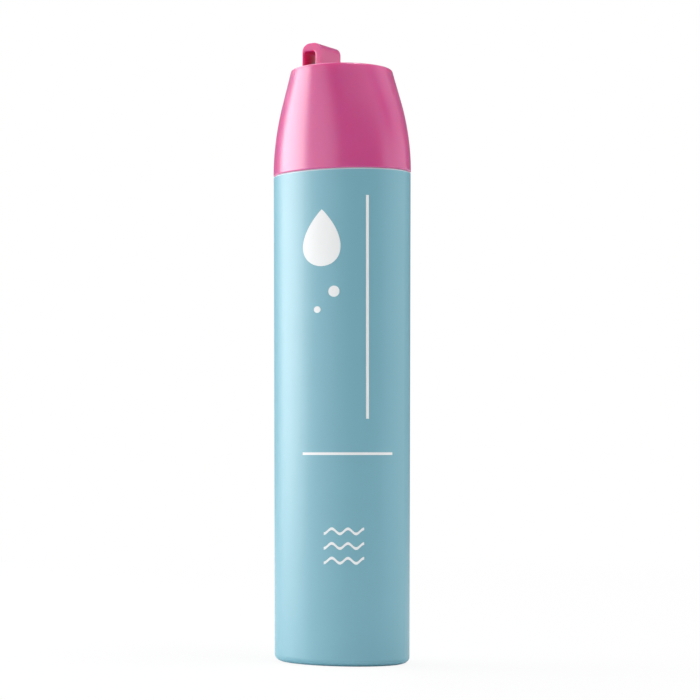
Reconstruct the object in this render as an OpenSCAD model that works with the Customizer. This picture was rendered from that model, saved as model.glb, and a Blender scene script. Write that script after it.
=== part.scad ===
// A stain remover pen: an oval barrel with a roll-on head, closed by a cap that runs from the barrel's oval
// to a flat round top and carries a lanyard loop.
// The pen stands on its foot. The origin is the centre of the foot and +Z runs up the pen.
// X is the long way across the oval, Y the short way. The loop sits on the -X side of the cap, its tunnel
// along Y.
// Lengths are millimetres.

/* [Barrel] */
// Width of the oval at the rim, the long way across
barrel_long = 27; // [26:0.1:30]
// Width of the oval at the rim, the short way across
barrel_short = 19.2; // [18.8:0.1:22]
// Height of the rim above the foot
barrel_len = 89; // [60:1:120]
// How far the wall draws in from the rim to the foot, on each side the short way
barrel_draft = 0.25; // [0.1:0.05:0.3]
// Thickness of the side wall
barrel_wall = 1.15; // [0.9:0.05:1.2]
// Thickness of the closed floor
floor_t = 1.6; // [1.2:0.1:3]
// Radius of the rounded foot edge
foot_round = 1.2; // [0.6:0.1:1.6]
// Width of the ring that the pen stands on
foot_ring_w = 2.2; // [1.5:0.1:3]
// Depth of the hollow inside that ring
foot_hollow = 0.5; // [0.2:0.1:0.9]
// Chamfer on the rim, which shows as a fine line under the cap
rim_chamfer = 0.2; // [0.1:0.05:0.3]

/* [Neck insert] */
// Thickness of the flange that lies in the barrel's mouth
flange_t = 1.2; // [1:0.1:1.6]
// Width of the step in the barrel's mouth that carries the flange
flange_step = 0.45; // [0.3:0.05:0.5]
// Length of the plug below the flange
plug_len = 7.6; // [7:0.1:10]
// Thickness of the plug's wall
plug_wall = 2.1; // [1.9:0.1:2.3]
// Height of the neck above the rim
neck_h = 9; // [8.6:0.1:9.4]
// Thickness of the neck's wall
neck_wall = 1; // [0.9:0.05:1.1]
// Height of the snap beads that hold the cap on
snap_h = 0.25; // [0.15:0.05:0.3]
// Height of the bead that locks the plug in the barrel
plug_bead_h = 0.2; // [0.1:0.05:0.25]

/* [Seal ring] */
// Thickness of the seal ring, across the plug
seal_t = 1; // [0.8:0.05:1.1]
// Height of the seal ring, along the plug
seal_h = 1.5; // [1.3:0.1:1.8]

/* [Roll-on head] */
// Diameter of the roller ball
ball_d = 9; // [8.6:0.1:9.2]
// Wall of the housing beside the ball
housing_wall = 1.02; // [0.96:0.02:1.06]
// Height of the housing's lip above the ball's centre
lip_rise = 1.3; // [1.1:0.1:1.5]
// Radius of the housing's rounded nose
nose_round = 4.2; // [3.8:0.1:4.6]
// Distance that the ball can be pressed in
press_travel = 0.8; // [0.4:0.1:1]
// Diameter of the bore that guides the ball's seat
guide_d = 6; // [5.8:0.1:6.2]
// Wall of the guide tube
guide_wall = 1.2; // [1:0.1:1.3]
// Number of feed grooves in the housing's bowl
feed_grooves = 4; // [3:1:6]
// Width of a feed groove
feed_groove_w = 1.2; // [0.8:0.1:1.4]
// Depth of a feed groove below the bowl
feed_groove_depth = 0.4; // [0.2:0.1:0.5]

/* [Ball seat and spring] */
// Thickness of the seat under the ball
seat_t = 1.6; // [1.2:0.1:2.2]
// Number of flutes that let liquid past the seat
seat_flutes = 6; // [4:1:8]
// Diameter of a flute
flute_d = 1.1; // [0.8:0.1:1.3]
// Length of the pins that centre the spring on the seat and on the retainer
spring_pin_len = 1.3; // [0.8:0.1:1.6]
// Diameter of those pins
spring_pin_d = 3.3; // [2.8:0.1:3.5]
// Length of the spring with the pen at rest
spring_len = 5.5; // [5:0.1:6.5]
// Diameter of the spring along the middle of its wire
spring_d = 4.6; // [4.4:0.1:5]
// Diameter of the spring's wire
wire_d = 0.45; // [0.35:0.05:0.5]
// Number of turns in the spring
spring_turns = 5; // [4:0.5:5]
// Thickness of the spring retainer's floor
retainer_floor = 1.2; // [1:0.1:1.5]
// Height of the retainer's skirt around the guide tube
retainer_skirt = 3.2; // [2.5:0.1:3.6]
// Wall of the retainer's skirt
retainer_wall = 0.9; // [0.8:0.05:1.1]
// Number of flow holes through the retainer
flow_holes = 5; // [4:1:6]
// Diameter of a flow hole
flow_hole_d = 1.2; // [0.8:0.1:1.3]

/* [Cap] */
// How far the cap's lower edge stands proud of the barrel
cap_proud = 0.05; // [0:0.01:0.15]
// Height of the cap without its loop
cap_h = 19.2; // [18.8:0.1:22]
// Diameter of the cap's round top, measured to its sharp corner
cap_top_d = 18.6; // [17.8:0.1:19]
// Lean of the straight upper part of the cap's side, in degrees, seen with the long way across
cap_lean = 19; // [18:0.5:20]
// Thickness of the cap's side
cap_wall = 1.1; // [0.9:0.05:1.2]
// Thickness of the cap's top
cap_top_t = 1.3; // [1:0.1:1.6]
// Radius of the cap's top edge
cap_edge_round = 0.4; // [0.3:0.05:0.6]
// Number of ribs that centre the liner in the cap
cap_ribs = 12; // [6:1:16]
// Thickness of a rib
cap_rib_t = 0.8; // [0.5:0.1:1.2]

/* [Cap liner] */
// Thickness of the liner's wall
liner_wall = 0.75; // [0.6:0.05:0.8]
// Thickness of the liner's top
liner_top_t = 0.8; // [0.6:0.1:1]
// Height above the rim where the liner turns in over the neck
liner_shoulder = 9.6; // [9.6:0.1:10]
// Height above the rim where the liner's dome starts
liner_dome = 12.8; // [12.4:0.1:13.2]
// Inside diameter of the liner's dome
liner_dome_d = 12.2; // [12:0.1:12.6]
// Thickness of the soft pad over the middle of the ball
pad_t = 0.8; // [0.5:0.1:1]
// Depth of the dish that the ball sits in under the pad
pad_dish = 0.2; // [0.2:0.1:0.6]
// Diameter of the pad
pad_d = 7.6; // [6:0.1:10]
// Gap between the pad and the ball
pad_gap = 0.3; // [0.2:0.05:0.5]

/* [Lanyard loop] */
// Distance from the pen's axis to the loop's outer side, which follows the cap's round top
loop_reach = 7.25; // [7:0.05:7.6]
// Distance from the pen's axis to the loop's flat inner side
loop_inner = 2.4; // [1.6:0.1:2.6]
// Height of the loop above the cap's top
loop_h = 5.1; // [4.6:0.1:6]
// Length of the loop along its tunnel
loop_band = 7.1; // [5:0.1:7.4]
// Radius of the round edge along the loop's top
loop_round = 1.45; // [1:0.05:1.6]
// Thickness of the outer leg in its middle, where it is thickest
loop_outer_t = 1.2; // [1.1:0.05:1.4]
// Thickness of the inner leg
loop_inner_t = 1.25; // [1:0.05:1.4]
// Thickness of the loop over its tunnel
loop_top_t = 1.45; // [1.2:0.05:1.6]
// Radius of the tunnel's upper corners
tunnel_round = 0.6; // [0.3:0.1:0.9]

/* [Clearances] */
// Gap between pieces that are pressed or snapped together
fit_gap = 0.05; // [0.03:0.01:0.06]
// Gap around the ball in its housing and in its seat
ball_gap = 0.08; // [0.05:0.01:0.1]
// Gap around the seat in its guide bore
slide_gap = 0.08; // [0.05:0.01:0.1]
// Gap between the two snap beads as the cap slides off
snap_gap = 0.06; // [0.04:0.01:0.1]

/* [Hidden] */
$fn = 96;

// Colours, as the photograph shows them or as such parts are sold
teal = "#86b7c4";
pink = "#d2609a";
natural_white = "#f1f2ee";
seal_grey = "#c9cdd0";
steel = "#c8ccd0";

// Overlap that makes a cut pass right through a face
over = 1;

// Barrel: half widths the long way and the short way, and the bore that narrows towards the floor
barrel_long_r = barrel_long / 2;
barrel_short_r = barrel_short / 2;
foot_short_r = barrel_short_r - barrel_draft;
mouth_long_r = barrel_long_r - barrel_wall;
mouth_short_r = barrel_short_r - barrel_wall;
draft_slope = barrel_draft / barrel_len;
floor_top_z = foot_hollow + floor_t;
floor_round = foot_round / 2;
function bore_r(z) = mouth_short_r - (barrel_len - z) * draft_slope;

// Small chamfer that leads a piece into its seat
lead_in = 0.25;

// Neck insert
plug_bead_drop = 1.6;
plug_lead_w = 0.4;
plug_lead_h = 0.8;
rim_z = barrel_len;
flange_r = mouth_short_r + flange_step;
flange_bottom_z = rim_z - flange_t;
plug_bottom_z = flange_bottom_z - plug_len;
plug_r = bore_r(plug_bottom_z) - fit_gap;
neck_top_z = rim_z + neck_h;
neck_foot_z = flange_bottom_z - flange_t;
plug_bead_z = flange_bottom_z - plug_bead_drop;
plug_bead_round = 0.4;

// Seal ring and its groove
seal_rise = 2.6;
seal_z = plug_bottom_z + seal_rise;
seal_slack = 0.1;

// Roller ball and the stack over it
ball_r = ball_d / 2;
cap_top_z = rim_z + cap_h;
liner_top_z = cap_top_z - cap_top_t - fit_gap;
pad_top_z = liner_top_z - liner_top_t;
pad_bottom_z = pad_top_z - pad_t - pad_dish;
ball_z = pad_top_z - pad_t - pad_gap - ball_r;

// Ball housing
socket_r = ball_r + ball_gap;
pressed_z = ball_z - press_travel;
housing_r = socket_r + housing_wall;
lip_z = ball_z + lip_rise;
neck_bore_r = housing_r + fit_gap;
neck_r = neck_bore_r + neck_wall;
nose_set_in = 0.1;
nose_r = neck_r - nose_set_in;
nose_step = 0.6;
guide_r = guide_d / 2;
bowl_bottom_z = pressed_z - sqrt(socket_r * socket_r - guide_r * guide_r);
cup_floor_t = 1.5;
cup_floor_z = bowl_bottom_z - cup_floor_t;
housing_bead_round = 0.4;
housing_bead_h = 0.15;
housing_bead_rise = 1.2;
housing_bead_z = cup_floor_z + housing_bead_rise;

// Ball seat
seat_r = guide_r - slide_gap;
seat_rim_w = 0.2;
seat_rim_r = seat_r - seat_rim_w;
seat_top_z = ball_z - sqrt(socket_r * socket_r - seat_rim_r * seat_rim_r);
seat_bottom_z = ball_z - socket_r - seat_t;

// Spring and its retainer
spring_low_z = seat_bottom_z - spring_len;
spring_end_gap = 0.02;
wire_sides = 6;
wire_steps = 20;
guide_bottom_z = spring_low_z + fit_gap;
guide_tube_r = guide_r + guide_wall;
retainer_bottom_z = spring_low_z - retainer_floor;
retainer_bore_r = guide_tube_r + fit_gap;
retainer_r = retainer_bore_r + retainer_wall;
flow_circle_r = (spring_pin_d / 2 + guide_r) / 2;

// Snap beads between the neck and the liner
snap_round = 0.5;
neck_bead_rise = 4.2;
bead_spacing = 1.2;
neck_bead_z = rim_z + neck_bead_rise;
neck_bead_r = neck_r + snap_h;
liner_bead_z = neck_bead_z - bead_spacing;
liner_bead_r = neck_bead_r + snap_gap;

// Cap liner
liner_bore_r = liner_bead_r + snap_h;
liner_r = liner_bore_r + liner_wall;
liner_rim_gap = 0.5;
liner_bottom_z = rim_z + liner_rim_gap;
liner_dome_r = liner_dome_d / 2;

// Cap: its half widths at the rim, and its side seen with the long way across, which is upright at the rim,
// bends in along an arc, and then runs straight to the top
cap_long_r = barrel_long_r + cap_proud;
cap_short_r = barrel_short_r + cap_proud;
cap_top_r = cap_top_d / 2;
cap_drop = cap_long_r - cap_top_r;
cap_bend_z = (cap_h * tan(cap_lean) - cap_drop) / (tan(cap_lean) - tan(cap_lean / 2));
cap_bend_r = cap_bend_z / sin(cap_lean);
cap_chamfer = rim_chamfer;
cap_inner_h = cap_h - cap_top_t;
cap_sides = 64;
side_steps = 8;
edge_steps = 4;
rib_seat_r = liner_r + fit_gap;
rib_set_back = 0.5;
rib_bottom = liner_rim_gap + rib_set_back;
rib_top = liner_shoulder;

// How far the side has come in at height z over the rim, the long way across
function cap_inward(z) = z <= cap_bend_z
    ? cap_bend_r - sqrt(cap_bend_r * cap_bend_r - z * z)
    : cap_bend_r * (1 - cos(cap_lean)) + (z - cap_bend_z) * tan(cap_lean);

// Half width of the cap at height z over the rim, for the half width that it has at the rim
function cap_side(rim_half, z) = rim_half - (rim_half - cap_top_r) * cap_inward(z) / cap_drop;

// The same, set in by a wall and with a round edge under a flat top
function cap_half(rim_half, z, set_in, top) =
    let (edge_z = top - cap_edge_round,
         lean = atan((rim_half - cap_top_r) / cap_drop * tan(cap_lean)),
         centre = cap_side(rim_half, edge_z) - set_in - cap_edge_round / cos(lean))
    z <= edge_z + cap_edge_round * sin(lean)
        ? cap_side(rim_half, z) - set_in
        : centre + sqrt(max(0, pow(cap_edge_round, 2) - pow(z - edge_z, 2)));

// Heights of the loft's rings: even steps up the side, then closer ones round the edge
function ring_heights(low, top) = concat(
    [for (i = [0 : side_steps]) low + (top - cap_edge_round - low) * i / side_steps],
    [for (i = [1 : edge_steps]) top - cap_edge_round * (1 - sin(90 * i / edge_steps))]);

// One oval ring of points
function oval_ring(long_r, short_r, z) =
    [for (k = [0 : cap_sides - 1]) let (a = k * 360 / cap_sides) [long_r * cos(a), short_r * sin(a), z]];

// Rings at the given heights on the cap's surface, or on the one that lies a wall further in
function cap_rings(heights, set_in, top) =
    [for (z = heights)
        oval_ring(cap_half(cap_long_r, z, set_in, top), cap_half(cap_short_r, z, set_in, top), z)];

// A list from its end to its start
function reversed(list) = [for (i = [len(list) - 1 : -1 : 0]) list[i]];

// Distance from the axis to an oval's outline, in a given direction
function oval_reach(long_r, short_r, angle) =
    long_r * short_r / norm([short_r * cos(angle), long_r * sin(angle)]);

// A half outline turned about the axis and stretched along X into an oval, one half turn at a time.
// The outline's widths are those the short way across.
module oval_turned(long_r, short_r) {
    for (turn = [0, 180]) rotate([0, 0, turn]) scale([long_r / short_r, 1, 1])
        rotate_extrude(angle = 180) children();
}

// Half outline that is kept to the right of the axis
module right_of_axis(low_z, high_z) {
    intersection() {
        children();
        translate([0, low_z]) square([barrel_long, high_z - low_z]);
    }
}

// Solid skinned over rings of points. The rings run from the bottom to the top, or, for a cup that stands
// on its mouth, from the ceiling inside down to the mouth and up again outside.
module lofted(rings) {
    last = len(rings) - 1;
    n = len(rings[0]);
    sides = [for (i = [0 : last - 1]) for (k = [0 : n - 1])
        let (a = i * n + k, b = i * n + (k + 1) % n) each [[a, a + n, b + n], [a, b + n, b]]];
    polyhedron(points = [for (ring = rings) each ring],
               faces = concat([[for (k = [0 : n - 1]) k]], sides,
                              [[for (k = [0 : n - 1]) last * n + n - 1 - k]]));
}

// Closed-bottom oval tube with a drafted wall, a rounded foot, a stepped mouth and a groove for the plug's
// bead
module barrel() {
    hollow_r = foot_short_r - foot_ring_w - foot_round;
    hollow_long_r = hollow_r + barrel_long_r - barrel_short_r;
    color(teal) difference() {
        oval_turned(barrel_long_r, barrel_short_r) {
            polygon([[0, 0], [foot_short_r - foot_round, 0], [foot_short_r, foot_round],
                     [barrel_short_r - draft_slope * rim_chamfer, rim_z - rim_chamfer],
                     [barrel_short_r - rim_chamfer, rim_z], [0, rim_z]]);
            translate([foot_short_r - foot_round, foot_round]) circle(r = foot_round);
        }
        // the hollow under the floor
        oval_turned(hollow_long_r, hollow_r)
            polygon([[0, -over], [hollow_r, -over], [hollow_r, 0], [hollow_r - foot_hollow, foot_hollow],
                     [0, foot_hollow]]);
        // the liquid's space, with a round corner above the floor
        oval_turned(mouth_long_r, mouth_short_r) {
            polygon([[0, floor_top_z], [bore_r(floor_top_z) - floor_round, floor_top_z],
                     [bore_r(floor_top_z), floor_top_z + floor_round],
                     [mouth_short_r, rim_z], [mouth_short_r, rim_z + over], [0, rim_z + over]]);
            translate([bore_r(floor_top_z) - floor_round, floor_top_z + floor_round])
                circle(r = floor_round);
            // the groove for the plug's bead
            translate([plug_r + plug_bead_h - plug_bead_round, plug_bead_z])
                circle(r = plug_bead_round + fit_gap);
            // the step for the flange
            translate([0, flange_bottom_z]) square([flange_r, flange_t + over]);
        }
    }
}

// Flange, plug and neck in one moulding, with a groove for the seal ring and beads for the snaps
module neck_insert() {
    color(natural_white) difference() {
        union() {
            oval_turned(mouth_long_r, mouth_short_r) difference() {
                union() {
                    translate([0, flange_bottom_z]) square([flange_r - fit_gap, flange_t]);
                    polygon([[0, plug_bottom_z], [plug_r - plug_lead_w, plug_bottom_z],
                             [plug_r, plug_bottom_z + plug_lead_h],
                             [plug_r, flange_bottom_z + over / 2], [0, flange_bottom_z + over / 2]]);
                    translate([plug_r + plug_bead_h - plug_bead_round, plug_bead_z])
                        circle(r = plug_bead_round);
                }
                translate([0, plug_bottom_z - over])
                    square([plug_r - plug_wall, neck_foot_z - plug_bottom_z + over]);
                translate([plug_r - seal_t, seal_z - (seal_h + seal_slack) / 2])
                    square([seal_t + over, seal_h + seal_slack]);
            }
            rotate_extrude() {
                polygon([[0, rim_z - over / 2], [neck_r, rim_z - over / 2],
                         [neck_r, neck_top_z - lead_in], [neck_r - lead_in, neck_top_z], [0, neck_top_z]]);
                translate([neck_bead_r - snap_round, neck_bead_z]) circle(r = snap_round);
            }
        }
        // the bore for the housing, with the groove for its bead
        rotate_extrude() {
            translate([0, neck_foot_z - over]) square([neck_bore_r, neck_top_z - neck_foot_z + 2 * over]);
            translate([housing_r + housing_bead_h - housing_bead_round, housing_bead_z])
                circle(r = housing_bead_round + fit_gap);
        }
    }
}

// Soft ring between the plug's groove and the barrel, drawn as squeezed
module seal_ring() {
    inner_r = plug_r - seal_t + fit_gap / 2;
    outer_r = bore_r(seal_z - seal_h / 2) - fit_gap / 2;
    color(seal_grey) oval_turned(mouth_long_r, mouth_short_r)
        translate([inner_r, seal_z - seal_h / 2]) square([outer_r - inner_r, seal_h]);
}

// Fitment that snaps into the neck: a nose and lip that keep the ball in, a bowl, and the guide tube below it
module ball_housing() {
    groove_r = socket_r + feed_groove_depth;
    color(natural_white) difference() {
        rotate_extrude() difference() {
            union() {
                intersection() {
                    translate([nose_r - nose_round, neck_top_z + nose_step]) circle(r = nose_round);
                    translate([0, neck_top_z + nose_step]) square([nose_r, lip_z - neck_top_z - nose_step]);
                }
                // the nose's core, inside the round edge
                translate([0, neck_top_z + nose_step])
                    square([nose_r - nose_round, lip_z - neck_top_z - nose_step]);
                translate([0, neck_top_z]) square([nose_r, nose_step]);
                translate([0, cup_floor_z]) square([housing_r, neck_top_z + nose_step - cup_floor_z]);
                translate([0, guide_bottom_z]) square([guide_tube_r, cup_floor_z - guide_bottom_z]);
                translate([housing_r + housing_bead_h - housing_bead_round, housing_bead_z])
                    circle(r = housing_bead_round);
            }
            translate([0, ball_z]) circle(r = socket_r);
            translate([0, pressed_z]) circle(r = socket_r);
            translate([0, pressed_z]) square([socket_r, press_travel]);
            translate([0, guide_bottom_z - over]) square([guide_r, pressed_z - guide_bottom_z + over]);
        }
        // grooves that carry liquid up the bowl to the ball's widest part
        for (i = [0 : feed_grooves - 1]) rotate([0, 0, i * 360 / feed_grooves])
            intersection() {
                translate([0, -feed_groove_w / 2, bowl_bottom_z - over])
                    cube([groove_r, feed_groove_w, pressed_z - bowl_bottom_z + over]);
                rotate_extrude() right_of_axis(bowl_bottom_z - over, pressed_z)
                    translate([0, pressed_z]) circle(r = groove_r);
            }
    }
}

// Cup that snaps over the guide tube and holds the spring up
module spring_retainer() {
    color(natural_white) difference() {
        rotate_extrude() difference() {
            polygon([[0, retainer_bottom_z], [retainer_r - lead_in, retainer_bottom_z],
                     [retainer_r, retainer_bottom_z + lead_in],
                     [retainer_r, spring_low_z + retainer_skirt], [0, spring_low_z + retainer_skirt]]);
            difference() {
                translate([0, spring_low_z]) square([retainer_bore_r, retainer_skirt + over]);
                translate([0, spring_low_z - over]) square([spring_pin_d / 2, spring_pin_len + over]);
            }
        }
        for (i = [0 : flow_holes - 1]) rotate([0, 0, i * 360 / flow_holes])
            translate([flow_circle_r, 0, retainer_bottom_z - over])
                cylinder(d = flow_hole_d, h = retainer_floor + 2 * over);
    }
}

// Compression spring: one round wire wound in a helix, swept as rings of points
module valve_spring() {
    rings = spring_turns * wire_steps;
    wire_r = wire_d / 2;
    coil_r = spring_d / 2;
    low = spring_low_z + wire_r + spring_end_gap;
    rise = spring_len - wire_d - 2 * spring_end_gap;
    lean = atan2(rise, spring_turns * 360 * coil_r * PI / 180);
    function ring(i) = let (
            turn = i * 360 / wire_steps,
            out = [cos(turn), sin(turn), 0],
            up = [sin(turn) * sin(lean), -cos(turn) * sin(lean), cos(lean)],
            middle = [coil_r * cos(turn), coil_r * sin(turn), low + rise * i / rings])
        [for (k = [0 : wire_sides - 1]) let (a = k * 360 / wire_sides)
            middle + wire_r * (cos(a) * out + sin(a) * up)];
    points = [for (i = [0 : rings]) each ring(i)];
    faces = [
        [for (k = [0 : wire_sides - 1]) k],
        [for (k = [0 : wire_sides - 1]) rings * wire_sides + wire_sides - 1 - k],
        for (i = [0 : rings - 1]) for (k = [0 : wire_sides - 1])
            let (a = i * wire_sides, n = (k + 1) % wire_sides, b = a + wire_sides)
                each [[a + k, b + k, b + n], [a + k, b + n, a + n]]
    ];
    echo(least_gap_between_turns = rise / spring_turns * cos(lean) - wire_d);
    color(steel) polyhedron(points = points, faces = faces);
}

// Cup that carries the ball on the spring, fluted so that liquid gets past it
module ball_seat() {
    color(natural_white) difference() {
        rotate_extrude() difference() {
            union() {
                translate([0, seat_bottom_z]) square([seat_r, seat_top_z - seat_bottom_z]);
                polygon([[0, seat_bottom_z - spring_pin_len],
                         [spring_pin_d / 2 - lead_in, seat_bottom_z - spring_pin_len],
                         [spring_pin_d / 2, seat_bottom_z - spring_pin_len + lead_in],
                         [spring_pin_d / 2, seat_bottom_z + over / 2], [0, seat_bottom_z + over / 2]]);
            }
            translate([0, ball_z]) circle(r = socket_r);
        }
        for (i = [0 : seat_flutes - 1]) rotate([0, 0, (i + 0.5) * 360 / seat_flutes])
            translate([seat_r, 0, seat_bottom_z - over])
                cylinder(d = flute_d, h = seat_top_z - seat_bottom_z + 2 * over);
    }
}

// Ball that rolls the liquid on
module roller_ball() {
    color(steel) translate([0, 0, ball_z]) sphere(r = ball_r);
}

// Block with a tunnel along Y for a lanyard: a turned disc with a round edge, cut to a bar. The tunnel is
// straight and the outer side is not, so the outer leg is thinnest at its ends.
module lanyard_loop() {
    tunnel_low = loop_outer_t - loop_reach;
    tunnel_w = -loop_inner - loop_inner_t - tunnel_low;
    tunnel_h = loop_h - loop_top_t;
    translate([0, 0, cap_h]) difference() {
        intersection() {
            rotate_extrude() {
                translate([0, -over / 2]) square([loop_reach, loop_h - loop_round + over / 2]);
                square([loop_reach - loop_round, loop_h]);
                translate([loop_reach - loop_round, loop_h - loop_round]) circle(r = loop_round);
            }
            rotate([90, 0, 0]) linear_extrude(height = loop_band, center = true) {
                translate([-loop_reach - over, -over])
                    square([loop_reach + over - loop_inner, loop_h - loop_round + over]);
                translate([-loop_reach - over, 0])
                    square([loop_reach + over - loop_inner - loop_round, loop_h + over]);
                translate([-loop_inner - loop_round, loop_h - loop_round]) circle(r = loop_round);
            }
        }
        rotate([90, 0, 0]) linear_extrude(height = loop_band + 2 * over, center = true)
            translate([tunnel_low, 0]) {
                square([tunnel_w, tunnel_h - tunnel_round]);
                translate([tunnel_round, 0]) square([tunnel_w - 2 * tunnel_round, tunnel_h]);
                for (x = [tunnel_round, tunnel_w - tunnel_round])
                    translate([x, tunnel_h - tunnel_round]) circle(r = tunnel_round);
            }
    }
}

// One rib inside the cap, from the liner's seat to the middle of the wall
module cap_rib(angle) {
    mid = cap_wall / 2;
    function wall_r(z) = oval_reach(cap_half(cap_long_r, z, mid, cap_h), cap_half(cap_short_r, z, mid, cap_h),
                                    angle);
    middle = (rib_bottom + rib_top) / 2;
    rotate([90, 0, angle]) linear_extrude(height = cap_rib_t, center = true)
        polygon([[rib_seat_r, rib_bottom], [wall_r(rib_bottom), rib_bottom], [wall_r(middle), middle],
                 [wall_r(rib_top), rib_top], [rib_seat_r, rib_top]]);
}

// Outer shell of the cap: a loft from the barrel's oval to a round top, ribs that grip the liner, and the
// lanyard loop
module cap_shell() {
    inside = cap_rings(ring_heights(0, cap_inner_h), cap_wall, cap_inner_h);
    mouth = oval_ring(cap_long_r - cap_chamfer, cap_short_r - cap_chamfer, 0);
    outside = cap_rings(ring_heights(cap_chamfer, cap_h), 0, cap_h);
    color(pink) translate([0, 0, rim_z]) {
        lofted(concat(reversed(inside), [mouth], outside));
        for (i = [0 : cap_ribs - 1]) cap_rib((i + 0.5) * 360 / cap_ribs);
        lanyard_loop();
    }
}

// Inner cap: a skirt that snaps over the neck, a shoulder, and a dome over the ball
module cap_liner() {
    shoulder_z = rim_z + liner_shoulder;
    dome_z = rim_z + liner_dome;
    color(natural_white) rotate_extrude() {
        difference() {
            polygon([[0, liner_bottom_z], [liner_r, liner_bottom_z], [liner_r, shoulder_z],
                     [liner_dome_r + liner_wall, dome_z],
                     [liner_dome_r + liner_wall, liner_top_z - lead_in],
                     [liner_dome_r + liner_wall - lead_in, liner_top_z], [0, liner_top_z]]);
            polygon([[-over, liner_bottom_z - over], [liner_bore_r, liner_bottom_z - over],
                     [liner_bore_r, shoulder_z], [liner_dome_r, dome_z], [liner_dome_r, pad_top_z],
                     [-over, pad_top_z]]);
        }
        translate([liner_bead_r + snap_round, liner_bead_z]) circle(r = snap_round);
    }
}

// Soft disc that covers the ball when the cap is on
module cap_seal_pad() {
    color(seal_grey) rotate_extrude() difference() {
        translate([0, pad_bottom_z]) square([pad_d / 2, pad_top_z - pad_bottom_z]);
        translate([0, ball_z]) circle(r = ball_r + pad_gap);
    }
}

barrel();
neck_insert();
seal_ring();
ball_housing();
spring_retainer();
valve_spring();
ball_seat();
roller_ball();
cap_shell();
cap_liner();
cap_seal_pad();
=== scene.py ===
# %% [markdown]
# # A stain remover pen with a roll-on head, dressed in Blender
#
# The pen is an oval plastic barrel with a pink cap. Under the cap sit a neck, a rolling steel ball in its
# housing, a spring valve and a soft liner. All of those pieces come ready-made from the CAD model, at their
# real size. This script gives each of them its finish, remakes the two pieces whose surface has to be
# smoother than the CAD's, adds the white print, and sets up the floor, the light and the camera.
#
# Every length in the scene is in metres. Z points up the pen, X runs the long way across the oval, and Y
# the short way. The cells run from top to bottom, and each one prints what it made.

# %% Load the frame
from math import atan, atan2, cos, pi, radians, sin, sqrt, tan

import bmesh
import bpy
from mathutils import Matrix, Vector


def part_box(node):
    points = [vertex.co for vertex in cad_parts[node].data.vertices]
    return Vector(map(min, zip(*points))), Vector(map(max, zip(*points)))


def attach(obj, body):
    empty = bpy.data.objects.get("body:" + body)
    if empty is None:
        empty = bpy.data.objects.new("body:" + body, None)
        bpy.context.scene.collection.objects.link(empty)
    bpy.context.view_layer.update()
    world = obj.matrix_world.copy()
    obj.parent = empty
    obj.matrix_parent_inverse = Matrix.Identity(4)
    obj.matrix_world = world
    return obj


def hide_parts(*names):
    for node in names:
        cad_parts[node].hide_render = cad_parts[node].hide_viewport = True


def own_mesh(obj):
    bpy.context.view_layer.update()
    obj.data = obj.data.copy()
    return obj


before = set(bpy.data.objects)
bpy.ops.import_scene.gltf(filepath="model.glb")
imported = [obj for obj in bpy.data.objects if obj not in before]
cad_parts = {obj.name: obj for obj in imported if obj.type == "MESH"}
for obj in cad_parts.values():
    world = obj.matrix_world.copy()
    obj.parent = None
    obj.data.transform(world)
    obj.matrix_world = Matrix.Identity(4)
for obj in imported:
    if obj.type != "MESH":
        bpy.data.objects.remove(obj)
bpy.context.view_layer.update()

print("CAD nodes:", ", ".join(sorted(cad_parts)))

MM = 0.001
scene = bpy.context.scene
scene.view_settings.view_transform = "Standard"

# %% [markdown]
# ## The camera
#
# The photographer stood about 40 cm away with a long lens, a little to the right of the oval's flat side
# and at about the height of the pen's middle. The camera is nearly level: it looks up by only 2.8 degrees.
# Instead of turning the camera by hand, we write where it stands and which way it looks, and Blender works
# out the rotation from that direction. `to_track_quat` keeps the picture upright.

# %% Place the camera
TURN = 0.5419            # how far round the pen the camera stands, in radians from the flat side's front
DISTANCE = 391.0 * MM    # from the pen's axis
HEIGHT = 37.43 * MM      # over the floor
PITCH = 0.0494           # upward tilt in radians
YAW = 0.0039             # small turn to the right, so that the pen stands left of the middle
LENS, SENSOR = 109.9, 36  # focal length and width of the sensor, in millimetres

toward_camera = Vector((sin(TURN), -cos(TURN), 0))
camera_right = Vector((cos(TURN), sin(TURN), 0))
level_look = camera_right * sin(YAW) - toward_camera * cos(YAW)
look = level_look * cos(PITCH) + Vector((0, 0, sin(PITCH)))

camera_data = bpy.data.cameras.new("camera")
camera_data.lens, camera_data.sensor_width = LENS, SENSOR
camera = bpy.data.objects.new("camera", camera_data)
camera.location = toward_camera * DISTANCE + Vector((0, 0, HEIGHT))
camera.rotation_euler = look.to_track_quat("-Z", "Y").to_euler()
scene.collection.objects.link(camera)
scene.camera = camera
print("camera at", [round(value, 4) for value in camera.location])

# %% [markdown]
# ## Two helpers for materials
#
# Colours are written as the hex values that a picture program shows. Cycles works with linear light, so one
# function turns the first into the second. The other adds a node with its settings and links in one line,
# which keeps each material short enough to read at a glance.

# %% Colour and node helpers
def linear(hex_colour):
    """A colour such as #86b7c4 as four linear numbers."""
    shares = [int(hex_colour[i:i + 2], 16) / 255 for i in (1, 3, 5)]
    return [s / 12.92 if s <= 0.04045 else ((s + 0.055) / 1.055) ** 2.4 for s in shares] + [1]


def add_node(material, kind, settings=None, inputs=None):
    """Adds a node. Settings are its own properties. An input is a value, or (node, output) to link from."""
    tree = material.node_tree
    node = tree.nodes.new(kind)
    for name, value in (settings or {}).items():
        setattr(node, name, value)
    for name, value in (inputs or {}).items():
        if isinstance(value, tuple) and isinstance(value[0], bpy.types.Node):
            tree.links.new(value[0].outputs[value[1]], node.inputs[name])
        else:
            node.inputs[name].default_value = value
    return node


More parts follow.
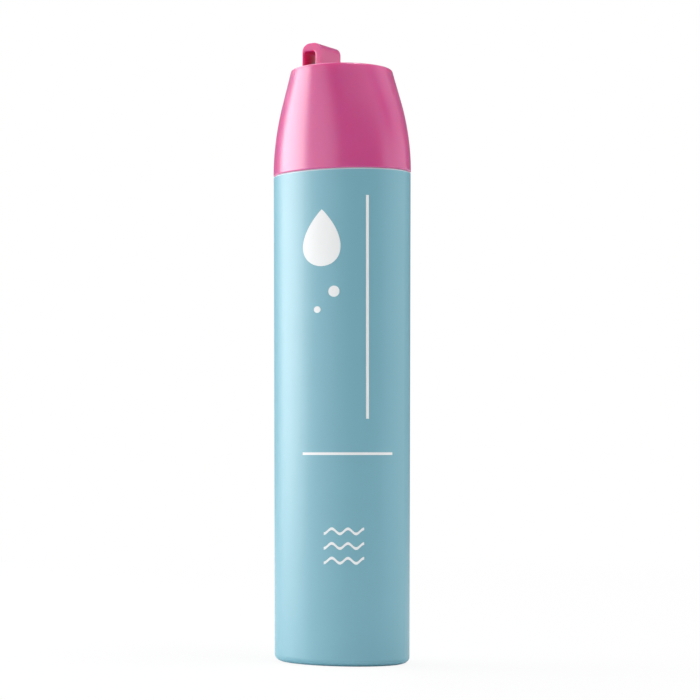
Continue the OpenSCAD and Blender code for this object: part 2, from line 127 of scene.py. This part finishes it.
def new_material(name, **values):
    """A material with one Principled shader, whose sockets get the given values."""
    material = bpy.data.materials.new(name)
    material.use_nodes = True
    shader = material.node_tree.nodes["Principled BSDF"]
    for socket, value in values.items():
        shader.inputs[socket.replace("_", " ")].default_value = value
    return material, shader


def per_mm(size_mm):
    """The scale of a texture whose grains are so many millimetres across, when it is laid out in metres."""
    return 1 / (size_mm * MM)


print("mid grey #808080 is", round(linear("#808080")[0], 3), "in linear light")

# %% [markdown]
# ## Barrel: satin polypropylene
#
# The barrel is moulded from teal polypropylene in a mould with a fine spark-eroded texture. That texture
# turns the gloss into a satin: highlights are broad and soft, and no sharp reflection shows. The real grain
# is about 0.05 mm, too fine for this picture, so it is drawn at 0.16 mm and very shallow. A second, much
# larger noise changes the colour and the roughness by a hair, as flow in the mould does. One plain colour
# would be quicker, but it looks drawn, and two noises are enough to make it look moulded.
#
# Two sockets set how much of the lamps the plastic mirrors. Specular IOR Level is 0.5 for a plain plastic,
# and 0.9 suits this shinier one. Coat Weight adds a thin, smoother skin on top.

# %% Make the barrel's plastic
FLOW_MM = 9              # size of the slow changes in colour and gloss
GLOSS_SPREAD = 0.02      # how far the roughness strays to either side


def moulded_plastic(name, colour, deeper, roughness, grain_mm, grain_depth_mm, ior=1.49, **values):
    """Moulded plastic: slight flow in its colour and gloss, and a fine grain on its surface."""
    material, shader = new_material(name, Roughness=roughness, IOR=ior, **values)
    place = add_node(material, "ShaderNodeTexCoord")
    flow = add_node(material, "ShaderNodeTexNoise", None,
                    {"Vector": (place, "Object"), "Scale": per_mm(FLOW_MM), "Detail": 2.0})
    tint = add_node(material, "ShaderNodeMix", {"data_type": "RGBA"},
                    {"Factor": (flow, "Fac"), "A": linear(colour), "B": linear(deeper)})
    gloss = add_node(material, "ShaderNodeMapRange", None,
                     {"Value": (flow, "Fac"), "To Min": roughness - GLOSS_SPREAD,
                      "To Max": roughness + GLOSS_SPREAD})
    grain = add_node(material, "ShaderNodeTexNoise", None,
                     {"Vector": (place, "Object"), "Scale": per_mm(grain_mm), "Detail": 1.0})
    bump = add_node(material, "ShaderNodeBump", None,
                    {"Height": (grain, "Fac"), "Distance": grain_depth_mm * MM, "Strength": 1.0})
    link = material.node_tree.links.new
    link(tint.outputs["Result"], shader.inputs["Base Color"])
    link(gloss.outputs["Result"], shader.inputs["Roughness"])
    link(bump.outputs["Normal"], shader.inputs["Normal"])
    print(f"{name}: {len(material.node_tree.nodes)} nodes")
    return material


barrel_plastic = moulded_plastic("satin_teal_polypropylene", "#77b3c4", "#74b0c1",
                                 roughness=0.42, grain_mm=0.16, grain_depth_mm=0.002,
                                 Specular_IOR_Level=0.9, Coat_Weight=0.35, Coat_Roughness=0.4)

# %% [markdown]
# The barrel's rim shows as a fine bright line under the cap, a highlight along its edge. Here that highlight
# is
# painted: a ring of its own could be laid there, but it is the same moulding, so a band of the same material
# takes a paler colour, a painted highlight. The height over the foot, which Separate XYZ reads from the
# piece's own coordinates, picks that band out.

# %% Paint a highlight on the rim
rim_z = 89 * MM          # height of the barrel's rim over the foot
RIM_HIGHLIGHT_BAND = 0.35 * MM
barrel_shader = barrel_plastic.node_tree.nodes["Principled BSDF"]
plain_colour = barrel_shader.inputs["Base Color"].links[0].from_node
place = add_node(barrel_plastic, "ShaderNodeTexCoord")
along_pen = add_node(barrel_plastic, "ShaderNodeSeparateXYZ", None, {0: (place, "Object")})
# painted highlight: this mask and the pale colour below make a bright line along the rim
rim_highlight_mask = add_node(barrel_plastic, "ShaderNodeMapRange", None,
                    {"Value": (along_pen, "Z"), "From Min": rim_z - RIM_HIGHLIGHT_BAND,
                     "From Max": rim_z - RIM_HIGHLIGHT_BAND / 2})
painted_rim_highlight = add_node(barrel_plastic, "ShaderNodeMix", {"data_type": "RGBA"},
                      {"Factor": (rim_highlight_mask, "Result"), "A": (plain_colour, "Result"),
                       "B": linear("#dbe9ee")})
barrel_plastic.node_tree.links.new(painted_rim_highlight.outputs["Result"], barrel_shader.inputs["Base Color"])
print(f"the pale band is {RIM_HIGHLIGHT_BAND / MM:.2f} mm high")

# %% [markdown]
# ## Cap: glossy polypropylene
#
# The cap comes out of a polished mould, so it is smoother than the barrel and its highlight is crisper.
# Polypropylene lets a little light in, and a pink one glows slightly where its wall is thin or where light
# is caught, as inside the lanyard loop. Subsurface scattering with a radius of 2.5 mm does that, and red
# light travels furthest in it. The coat is no varnish: it stands for the smooth skin that the mould leaves.

# %% Make the cap's plastic
cap_plastic = moulded_plastic("glossy_pink_polypropylene", "#da4894", "#d64591",
                              roughness=0.3, grain_mm=0.3, grain_depth_mm=0.0004,
                              Specular_IOR_Level=0.9, Coat_Weight=0.6, Coat_Roughness=0.28,
                              Subsurface_Weight=0.6, Subsurface_Radius=(1.0, 0.2, 0.3),
                              Subsurface_Scale=2.5 * MM)

# %% [markdown]
# ## Neck, housing, seat, retainer and liner: natural polypropylene
#
# These pieces have no pigment. Natural polypropylene is milky: light enters it and comes out a millimetre
# or two away, so its edges look soft and its shadows are light. Transmission would make it clear like glass,
# so subsurface scattering does this as well.

# %% Make the natural plastic
natural_plastic = moulded_plastic("natural_polypropylene", "#dddfdb", "#d7dad7",
                                  roughness=0.33, grain_mm=0.4, grain_depth_mm=0.0015,
                                  Subsurface_Weight=0.6, Subsurface_Radius=(1.0, 0.95, 0.9),
                                  Subsurface_Scale=1.2 * MM)

# %% [markdown]
# ## Seal ring and pad: silicone rubber
#
# Silicone is soft, grey and slightly dusty to the eye. Its gloss is low and wide. The function for plastics
# makes it too, because it is moulded the same way: only the IOR, the roughness and the grain differ.

# %% Make the silicone
silicone = moulded_plastic("grey_silicone_rubber", "#c4c9cc", "#bcc2c6",
                           roughness=0.55, grain_mm=0.5, grain_depth_mm=0.003, ior=1.41,
                           Subsurface_Weight=0.2, Subsurface_Radius=(1.0, 1.0, 1.0),
                           Subsurface_Scale=0.5 * MM)

# %% [markdown]
# ## Ball and spring: stainless steel
#
# The ball is ground and polished until it mirrors its surroundings. A few hair-fine scratches from rolling
# only show in the highlight. The spring is drawn wire of the same steel, duller, with the fine marks that
# the drawing die leaves. An image of scratches could do this, but one noise is enough for both kinds of mark
# at this size. It moves the roughness as well as the surface. Metals keep the default IOR.

# %% Make the two steels
def steel(name, colour, roughness, mark_mm, depth_mm):
    """Steel with fine marks on it."""
    material, shader = new_material(name, Metallic=1.0, Roughness=roughness, Base_Color=linear(colour))
    place = add_node(material, "ShaderNodeTexCoord")
    marks = add_node(material, "ShaderNodeTexNoise", None,
                     {"Vector": (place, "Object"), "Scale": per_mm(mark_mm), "Detail": 3.0})
    wear = add_node(material, "ShaderNodeMapRange", None,
                    {"Value": (marks, "Fac"), "To Min": roughness * 0.7, "To Max": roughness * 1.4})
    bump = add_node(material, "ShaderNodeBump", None,
                    {"Height": (marks, "Fac"), "Distance": depth_mm * MM, "Strength": 1.0})
    link = material.node_tree.links.new
    link(wear.outputs["Result"], shader.inputs["Roughness"])
    link(bump.outputs["Normal"], shader.inputs["Normal"])
    print(f"{name}: {len(material.node_tree.nodes)} nodes")
    return material


ball_steel = steel("polished_stainless_steel", "#c9ccd0", 0.07, mark_mm=0.5, depth_mm=0.0003)
spring_steel = steel("drawn_spring_steel", "#b9bdc1", 0.28, mark_mm=0.06, depth_mm=0.001)

# %% [markdown]
# ## Dress the CAD pieces
#
# Each CAD node keeps its shape here and only gets its finish. A mesh has a list of material slots, so the old
# one is cleared and the new material becomes the only one. The two pieces that are made again below use the
# same materials.

# %% Give every CAD node its material
FINISHES = {
    "barrel": barrel_plastic,
    "neck_insert": natural_plastic, "ball_housing": natural_plastic, "spring_retainer": natural_plastic,
    "ball_seat": natural_plastic, "cap_liner": natural_plastic,
    "seal_ring": silicone, "cap_seal_pad": silicone,
    "roller_ball": ball_steel, "valve_spring": spring_steel,
    "cap_shell": cap_plastic,
}
for name, finish in FINISHES.items():
    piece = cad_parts[name]
    piece.data.materials.clear()
    piece.data.materials.append(finish)
    print(f"{name}: {finish.name}, {len(piece.data.polygons)} faces")

# %% [markdown]
# ## The cap, made smooth
#
# The cap runs from the barrel's oval at its mouth to a round top. In CAD that skin is a loft of 64 flat
# sides, and its highlight would break into stripes. Here the same loft is made again with many more sides.
# It could be sculpted, or made from a cylinder with a lattice, but its outline follows a formula, so rings
# of points from that formula are both exact and easy to follow.
#
# Seen with the long way across, the side of the cap starts upright at the mouth, bends in along part of a
# circle, and then runs straight to the top, where it turns through a small round edge.

# %% The cap's outline as a formula
cap_h = 19.2 * MM
cap_long, cap_short, cap_top = 13.55 * MM, 9.65 * MM, 9.3 * MM    # half widths at the mouth and the top
cap_wall, cap_top_t = 1.1 * MM, 1.3 * MM
cap_edge = 0.4 * MM
cap_lean = radians(19)                                            # lean of the straight part
mouth_chamfer = 0.2 * MM
cap_drop = cap_long - cap_top
cap_bend_z = (cap_h * tan(cap_lean) - cap_drop) / (tan(cap_lean) - tan(cap_lean / 2))
cap_arc = cap_bend_z / sin(cap_lean)


def cap_side(rim_half, z):
    """Half width of the side at height z over the rim, without the round edge."""
    if z <= cap_bend_z:
        inward = cap_arc - sqrt(cap_arc ** 2 - z * z)
    else:
        inward = cap_arc * (1 - cos(cap_lean)) + (z - cap_bend_z) * tan(cap_lean)
    return rim_half - (rim_half - cap_top) * inward / cap_drop


def cap_half(rim_half, z, set_in, top):
    """Half width with a wall set in, and with a round edge under a flat top."""
    edge_z = top - cap_edge
    lean = atan((rim_half - cap_top) / cap_drop * tan(cap_lean))
    if z <= edge_z + cap_edge * sin(lean):
        return cap_side(rim_half, z) - set_in
    centre = cap_side(rim_half, edge_z) - set_in - cap_edge / cos(lean)
    return centre + sqrt(max(0, cap_edge ** 2 - (z - edge_z) ** 2))


print("the cap's side bends up to", round(cap_bend_z / MM, 1), "mm, then runs straight")

# %% [markdown]
# The skin is one closed strip of rings: from the middle of the ceiling inside, down to the mouth, and up
# again outside to the middle of the top. Rings stand close together where the outline bends.

# %% Helpers that turn points into meshes
def evenly(low, high, steps):
    """Evenly spaced values from low to high, with both ends."""
    return [low + (high - low) * k / steps for k in range(steps + 1)]


def mesh_object(name, points, faces):
    """A mesh object from points and faces, linked to the scene."""
    mesh = bpy.data.meshes.new(name)
    mesh.from_pydata(points, [], faces)
    shape = bmesh.new()
    shape.from_mesh(mesh)
    bmesh.ops.recalc_face_normals(shape, faces=shape.faces)      # every face looks outwards
    shape.to_mesh(mesh)
    shape.free()
    obj = bpy.data.objects.new(name, mesh)
    scene.collection.objects.link(obj)
    return obj


def skin(rings):
    """Faces between rings of equally many points, the first and the last closed with one face each."""
    n = len(rings[0])
    faces = [tuple(range(n))[::-1]]
    for i in range(len(rings) - 1):
        faces += [(i * n + k, i * n + (k + 1) % n, (i + 1) * n + (k + 1) % n, (i + 1) * n + k)
                  for k in range(n)]
    faces.append(tuple((len(rings) - 1) * n + k for k in range(n)))
    return [point for ring in rings for point in ring], faces


def smooth(obj, angle=32):
    """Smooth shading, but with a crisp edge wherever faces meet at more than the given angle."""
    obj.data.polygons.foreach_set("use_smooth", [True] * len(obj.data.polygons))
    obj.data.set_sharp_from_angle(angle=radians(angle))


def settled(obj):
    """Applies the object's modifiers, so that its mesh is what they show."""
    mesh = bpy.data.meshes.new_from_object(obj.evaluated_get(bpy.context.evaluated_depsgraph_get()))
    obj.modifiers.clear()
    obj.data = mesh


# %% Loft the cap's shell
CAP_SIDES = 192


def oval_ring(long_r, short_r, z, sides=CAP_SIDES):
    """Points round an oval with these two radii, at height z over the foot."""
    return [(long_r * cos(a), short_r * sin(a), z) for a in (2 * pi * k / sides for k in range(sides))]


def cap_rings(low, set_in, top, side_steps=28, edge_steps=10):
    """Rings up one skin of the cap, from low to top over the rim."""
    side = evenly(low, top - cap_edge, side_steps)
    edge = [top - cap_edge * (1 - sin(t)) for t in evenly(0, pi / 2, edge_steps)[1:]]
    return [oval_ring(cap_half(cap_long, z, set_in, top), cap_half(cap_short, z, set_in, top), rim_z + z)
            for z in side + edge]


inside = cap_rings(0, cap_wall, cap_h - cap_top_t)[::-1]
mouth = [oval_ring(cap_long - mouth_chamfer, cap_short - mouth_chamfer, rim_z)]
outside = cap_rings(mouth_chamfer, 0, cap_h)
cap = mesh_object("cap_shell_smooth", *skin(inside + mouth + outside))
print("shell:", len(cap.data.vertices), "points")

# %% [markdown]
# ## The lanyard loop
#
# On top of the cap stands a small block with a tunnel through it, for a lanyard. Its outer side follows the
# cap's round top, its inner side and its two ends are flat, and its top edges are well rounded. Such a block
# is the overlap of two simple solids: a turned disc with a round edge, and a straight bar along the tunnel.
# A Boolean modifier keeps what they share, and another one cuts the tunnel. The tunnel is straight while the
# outer side is curved, so the outer leg is thin at its two ends and thick in the middle.

# %% Outlines with rounded corners, and Booleans
def rounded(corners, steps=10):
    """A closed outline through (x, y, radius) corners, given anticlockwise. All corners are square."""
    outline = []
    for i, (x, y, radius) in enumerate(corners):
        here = Vector((x, y))
        back = (Vector(corners[i - 1][:2]) - here).normalized()
        ahead = (Vector(corners[(i + 1) % len(corners)][:2]) - here).normalized()
        centre = here + (back + ahead) * radius
        outline += [centre - (ahead * cos(t) + back * sin(t)) * radius
                    for t in evenly(0, pi / 2, steps)] if radius else [here]
    return outline


def boolean(obj, other, operation):
    """Joins, cuts or intersects obj with other, and removes other."""
    modifier = obj.modifiers.new(operation.lower(), "BOOLEAN")
    modifier.operation, modifier.object, modifier.solver = operation, other, "EXACT"
    settled(obj)
    bpy.data.objects.remove(other)


# %% Make the loop's body
loop_reach = 7.25 * MM                    # radius of its outer side, round the pen's axis
loop_inner_x = -2.4 * MM                  # its flat inner side
loop_half = 3.55 * MM                     # half its length along the tunnel
loop_h = 5.1 * MM
loop_round = 1.45 * MM                    # round edge along its top
leg_foot = -0.6 * MM                      # how deep the legs stand in the cap's top
top_z = rim_z + cap_h
DISC_SIDES = 128

disc = [(loop_reach, leg_foot)]
disc += [(loop_reach - loop_round * (1 - cos(t)), loop_h - loop_round * (1 - sin(t)))
         for t in evenly(0, pi / 2, 10)]
loop = mesh_object("loop", *skin([oval_ring(r, r, top_z + z, DISC_SIDES) for r, z in disc]))
bar_side = rounded([(-2 * loop_reach, leg_foot, 0), (loop_inner_x, leg_foot, 0),
                    (loop_inner_x, loop_h, loop_round), (-2 * loop_reach, loop_h, 0)])
bar = mesh_object("bar", *skin([[(p.x, y, top_z + p.y) for p in bar_side] for y in (-loop_half, loop_half)]))
boolean(loop, bar, "INTERSECT")
print("loop before the tunnel is cut:", len(loop.data.vertices), "points")

# %% [markdown]
# The tunnel's two mouths flare out with a small round edge, so that a lanyard doesn't chafe. A Bevel modifier
# could round them after the cut, but it stumbles where the outer leg is thin. So the cutter itself is flared:
# one tube of rounded outlines, narrowing along a quarter circle at each end and straight between.

# %% Cut the tunnel
tunnel_low_x, tunnel_high_x = -6.05 * MM, -3.65 * MM
tunnel_top = loop_h - 1.45 * MM           # leaves the loop 1.45 mm thick over the tunnel
tunnel_round = 0.6 * MM
flare = 0.35 * MM


def tunnel_outline(y, wider):
    """The tunnel's outline at y, wider than the straight part on every side but the floor."""
    left, right, top, radius = (tunnel_low_x - wider, tunnel_high_x + wider, tunnel_top + wider,
                                tunnel_round + wider)
    corners = [(left, 0, 0), (right, 0, 0), (right, top, radius), (left, top, radius)]
    return [(p.x, y, top_z + p.y) for p in rounded(corners)]


half_tunnel = [(loop_half + MM, flare)] + [(loop_half - flare * (1 - cos(t)), flare * (1 - sin(t)))
                                           for t in evenly(0, pi / 2, 6)]
stations = [(-y, w) for y, w in half_tunnel] + half_tunnel[::-1]
cutter = mesh_object("tunnel", *skin([tunnel_outline(y, w) for y, w in stations]))
boolean(loop, cutter, "DIFFERENCE")
print("loop:", len(loop.data.vertices), "points")

# %% [markdown]
# Twelve thin ribs inside the cap grip the liner. Each is a flat plate from the liner's seat to the middle
# of the cap's wall. They are gathered in one mesh first, so that a single Boolean joins them all to the
# shell.

# %% Make the ribs
RIB_COUNT = 12
rib_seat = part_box("cap_liner")[1].x + 0.05 * MM
rib_low, rib_high = 1 * MM, 9.6 * MM      # over the rim
rib_half_t = 0.4 * MM


def cap_rib(angle):
    """Points and faces of the rib that stands in this direction from the axis."""
    def reach(z):
        a, b = (cap_half(half, z, cap_wall / 2, cap_h) for half in (cap_long, cap_short))
        return a * b / sqrt((b * cos(angle)) ** 2 + (a * sin(angle)) ** 2)

    outer_edge = [(reach(z), z) for z in evenly(rib_low, rib_high, 2)]
    outline = [(rib_seat, rib_low), *outer_edge, (rib_seat, rib_high)]
    return skin([[(r * cos(angle) - t * sin(angle), r * sin(angle) + t * cos(angle), rim_z + z)
                  for r, z in outline] for t in (rib_half_t, -rib_half_t)])


rib_points, rib_faces = [], []
for i in range(RIB_COUNT):
    points, faces = cap_rib((i + 0.5) * 2 * pi / RIB_COUNT)
    rib_faces += [tuple(k + len(rib_points) for k in face) for face in faces]
    rib_points += points
ribs = mesh_object("ribs", rib_points, rib_faces)
print("ribs:", RIB_COUNT, "plates,", len(rib_points), "points")

# %% [markdown]
# Now the three pieces become one, as in the mould. The shell, the ribs and the loop overlap a little, which a
# Boolean needs to join them cleanly.

# %% Join the cap
boolean(cap, ribs, "UNION")
boolean(cap, loop, "UNION")
cap.data.materials.clear()
cap.data.materials.append(cap_plastic)
smooth(cap)
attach(cap, "cap")
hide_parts("cap_shell")
print("cap:", len(cap.data.polygons), "faces")

# %% [markdown]
# ## The valve spring, made round
#
# In CAD the spring's wire has six flat sides. Here it is swept again with twelve sides and finer steps. A
# curve with a round bevel would look the same, but the helper for rings is here already. Each ring of points
# stands square to the helix.

# %% Wind the spring
spring_low, spring_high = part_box("valve_spring")
wire_r, coil_r, turns = 0.225 * MM, 2.3 * MM, 5
STEPS_PER_TURN, WIRE_SIDES = 40, 12
steps = turns * STEPS_PER_TURN
low_z, high_z = spring_low.z + wire_r, spring_high.z - wire_r
lean = atan2(high_z - low_z, turns * 2 * pi * coil_r)
rings = []
for i in range(steps + 1):
    turn = 2 * pi * i / STEPS_PER_TURN
    out = Vector((cos(turn), sin(turn), 0))
    up = Vector((sin(turn) * sin(lean), -cos(turn) * sin(lean), cos(lean)))
    middle = out * coil_r + Vector((0, 0, low_z + (high_z - low_z) * i / steps))
    rings.append([middle + (out * cos(a) + up * sin(a)) * wire_r
                  for a in (2 * pi * k / WIRE_SIDES for k in range(WIRE_SIDES))])
spring = mesh_object("valve_spring_wire", *skin(rings))
spring.data.materials.append(spring_steel)
smooth(spring, 50)
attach(spring, "barrel")
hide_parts("valve_spring")
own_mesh(spring)
print("spring:", len(spring.data.polygons), "faces")

# %% [markdown]
# ## The white print
#
# The barrel is screen-printed in white with plain shapes: a drop with two bubbles and a fine rule above a
# dividing line, and three small waves below it. They could be painted in the barrel's material, but thin
# layers of ink have a crisp edge from any distance, and catch the light a little differently from the wall.
#
# Each shape is drawn flat, as someone at the camera sees it, and then laid onto the oval. `on_barrel` finds
# the place: it starts on a plane through the pen's axis and goes towards the camera until it meets the wall.
# A shape is a ladder of rungs, pairs of (across, height) points in millimetres, split so finely that it
# follows the curve. The Solidify modifier then gives the ink its thickness, half of it sunk into the wall.

# %% Helpers for the print
barrel_long, barrel_short, barrel_draft = 13.5 * MM, 9.6 * MM, 0.25 * MM
INK_LIFT = 0.03 * MM


def on_barrel(across, z):
    """The point just over the barrel's wall, seen from the camera at this distance beside the axis."""
    short = barrel_short - barrel_draft * (rim_z - z) / rim_z + INK_LIFT
    long = short * barrel_long / barrel_short
    side_x, side_y = camera_right.x * across / long, camera_right.y * across / short
    out_x, out_y = toward_camera.x / long, toward_camera.y / short
    a, b, c = out_x ** 2 + out_y ** 2, side_x * out_x + side_y * out_y, side_x ** 2 + side_y ** 2 - 1
    out = (sqrt(b * b - a * c) - b) / a
    return camera_right * across + toward_camera * out + Vector((0, 0, z))


def film(name, rungs, steps):
    """A thin layer of ink over a ladder of rungs, each split into so many steps."""
    points = [on_barrel(*((1 - j / steps) * Vector(a) + j / steps * Vector(b)) * MM)
              for a, b in rungs for j in range(steps + 1)]
    n = steps + 1                # points on a rung
    faces = [(i * n + j, i * n + j + 1, (i + 1) * n + j + 1, (i + 1) * n + j)
             for i in range(len(rungs) - 1) for j in range(steps)]
    ink = mesh_object(name, points, faces)
    ink.data.materials.append(print_ink)
    thick = ink.modifiers.new("thickness", "SOLIDIFY")
    thick.thickness, thick.offset = 2 * INK_LIFT, -1
    settled(ink)
    smooth(ink)
    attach(ink, "barrel")
    print(f"{name}: {len(ink.data.polygons)} faces")


# %% Make the ink
print_ink = moulded_plastic("white_screen_print_ink", "#fbfcfc", "#f4f7f8",
                            roughness=0.45, grain_mm=0.25, grain_depth_mm=0.002)

# %% [markdown]
# A disc and a drop are stacks of level rungs. The angle t runs from their lowest point to their highest one
# and stops just short of both, so that no rung shrinks to a point. The drop is a disc that is drawn out
# upwards, with its sides pinched in towards the tip. A wave is a row of short upright rungs.

# %% Draw the drop and the bubbles
def level_rung(across, z, half):
    return (across - half, z), (across + half, z)


def disc_rungs(across, z, radius, steps=16):
    return [level_rung(across, z - radius * cos(t), radius * sin(t))
            for t in evenly(0.02 * pi, 0.98 * pi, steps)]


def drop_rungs(across, z, radius, tall=1.6, wide=1.35, pinch=0.9, steps=28):
    return [level_rung(across, z - tall * radius * cos(t), wide * radius * sin(t) * cos(t / 2) ** pinch)
            for t in evenly(0.01 * pi, 0.99 * pi, steps)]


film("print_drop", drop_rungs(across=-3.6, z=76.5, radius=3.2), 14)
film("print_bubble_large", disc_rungs(across=-1.4, z=66.8, radius=1.0), 6)
film("print_bubble_small", disc_rungs(across=-4.4, z=63.6, radius=0.6), 4)


# %% Draw the lines and the waves
def wave_rungs(across, z, half_long=3.6, high=0.45, thick=0.5, bends=2.5, steps=48):
    middles = [(x, z + high * sin(bends * pi * (x - across) / half_long))
               for x in evenly(across - half_long, across + half_long, steps)]
    return [((x, middle - thick / 2), (x, middle + thick / 2)) for x, middle in middles]


film("print_rule", [((4.35, z), (4.85, z)) for z in evenly(44, 84, 80)], 2)
film("print_divider", [((x, 37.55), (x, 38.03)) for x in evenly(-7.0, 9.05, 64)], 1)
for i, z in enumerate((24.0, 21.4, 18.8)):
    film(f"print_wave_{i + 1}", wave_rungs(across=0.4, z=z), 1)

# %% [markdown]
# ## Floor, world and lamps
#
# The floor looks white to the camera because it shines with a strength of 1 for camera rays only. For the
# light that falls on the pen it stays plain. Near the pen it keeps a part of its real shading, so that the
# pen still casts a soft shadow on it. That part fades out further away, where the lamps hardly reach, and so
# no horizon shows.

# %% Floor
SHADOW_SHARE = 0.12                       # how much of its real shading the floor keeps near the pen
FADE_START, FADE_END = 80 * MM, 400 * MM  # where that share starts to fade, and where none is left
floor = mesh_object("floor", [(x, y, 0) for x, y in ((-3, -3), (3, -3), (3, 3), (-3, 3))], [(0, 1, 2, 3)])
floor_paint, floor_shader = new_material("white_floor", Base_Color=linear("#f4f4f4"), Roughness=0.9)
floor_glow = add_node(floor_paint, "ShaderNodeEmission", None, {"Color": (1, 1, 1, 1), "Strength": 1.0})
path = add_node(floor_paint, "ShaderNodeLightPath")
place = add_node(floor_paint, "ShaderNodeTexCoord")
distance = add_node(floor_paint, "ShaderNodeVectorMath", {"operation": "LENGTH"}, {0: (place, "Object")})
glow_share = add_node(floor_paint, "ShaderNodeMapRange", None,
                      {"Value": (distance, "Value"), "From Min": FADE_START, "From Max": FADE_END,
                       "To Min": 1 - SHADOW_SHARE, "To Max": 1.0})
share = add_node(floor_paint, "ShaderNodeMath", {"operation": "MULTIPLY"},
                 {0: (path, "Is Camera Ray"), 1: (glow_share, "Result")})
floor_mix = add_node(floor_paint, "ShaderNodeMixShader", None,
                     {"Fac": (share, "Value"), 1: (floor_shader, "BSDF"), 2: (floor_glow, "Emission")})
floor_paint.node_tree.links.new(floor_mix.outputs["Shader"],
                                floor_paint.node_tree.nodes["Material Output"].inputs["Surface"])
floor.data.materials.append(floor_paint)
print(f"{floor_paint.name}: {len(floor_paint.node_tree.nodes)} nodes")

# %% [markdown]
# The world does the same with less effort: its strength is 1 for the camera and 0.2 for everything else,
# which is the soft light of a pale room. Reflections see the 0.2 as well, because a fully white room that is
# mirrored in the satin plastic would make it look chalky.

# %% World
ROOM_LIGHT = 0.2
world = bpy.data.worlds.new("white_room")
world.use_nodes = True
scene.world = world
path = add_node(world, "ShaderNodeLightPath")
strength = add_node(world, "ShaderNodeMapRange", None,
                    {"Value": (path, "Is Camera Ray"), "To Min": ROOM_LIGHT, "To Max": 1.0})
background = world.node_tree.nodes["Background"]
background.inputs["Color"].default_value = (1, 1, 1, 1)
world.node_tree.links.new(strength.outputs["Result"], background.inputs["Strength"])
print(f"room light: {ROOM_LIGHT}, and 1 as the camera sees it")

# %% [markdown]
# Each lamp is a soft box that hangs 0.7 m from the pen and faces it. It is described as someone at the pen
# would point at it: its direction round the pen, how wide it looks, and between which heights it stands,
# all in degrees. The direction is counted from the camera, and is positive to the camera's right. A picture
# of a studio could light the pen too, but soft boxes can be moved and dimmed one by one.

# %% Lamps
LAMP_DISTANCE = 0.7
lamp_target = Vector((0, 0, 55 * MM))


def lamp(name, around, wide, low, high, watts):
    """A rectangular soft box that fills the given part of the view from the pen."""
    up, half_wide, half_tall = radians((low + high) / 2), radians(wide / 2), radians((high - low) / 2)
    level = toward_camera * cos(radians(around)) + camera_right * sin(radians(around))
    data = bpy.data.lights.new(name, "AREA")
    data.shape, data.energy = "RECTANGLE", watts
    data.size, data.size_y = 2 * LAMP_DISTANCE * cos(up) * tan(half_wide), 2 * LAMP_DISTANCE * tan(half_tall)
    box = bpy.data.objects.new(name, data)
    box.location = lamp_target + (level * cos(up) + Vector((0, 0, sin(up)))) * LAMP_DISTANCE
    box.rotation_euler = (lamp_target - box.location).to_track_quat("-Z", "Y").to_euler()
    scene.collection.objects.link(box)
    print(f"{name}: {watts} W, {data.size:.2f} by {data.size_y:.2f} m")


lamp("key_box", around=-98, wide=46, low=-4, high=22, watts=3.2)
lamp("back_left_box", around=-130, wide=64, low=22, high=70, watts=3.0)
lamp("left_front_box", around=-50, wide=30, low=-4, high=22, watts=0.42)
lamp("front_top_box", around=20, wide=80, low=25, high=60, watts=0.5)
lamp("right_box", around=80, wide=80, low=-4, high=25, watts=1.2)
lamp("right_top_box", around=105, wide=50, low=25, high=60, watts=0.4)
lamp("top_box", around=60, wide=60, low=60, high=80, watts=1.9)
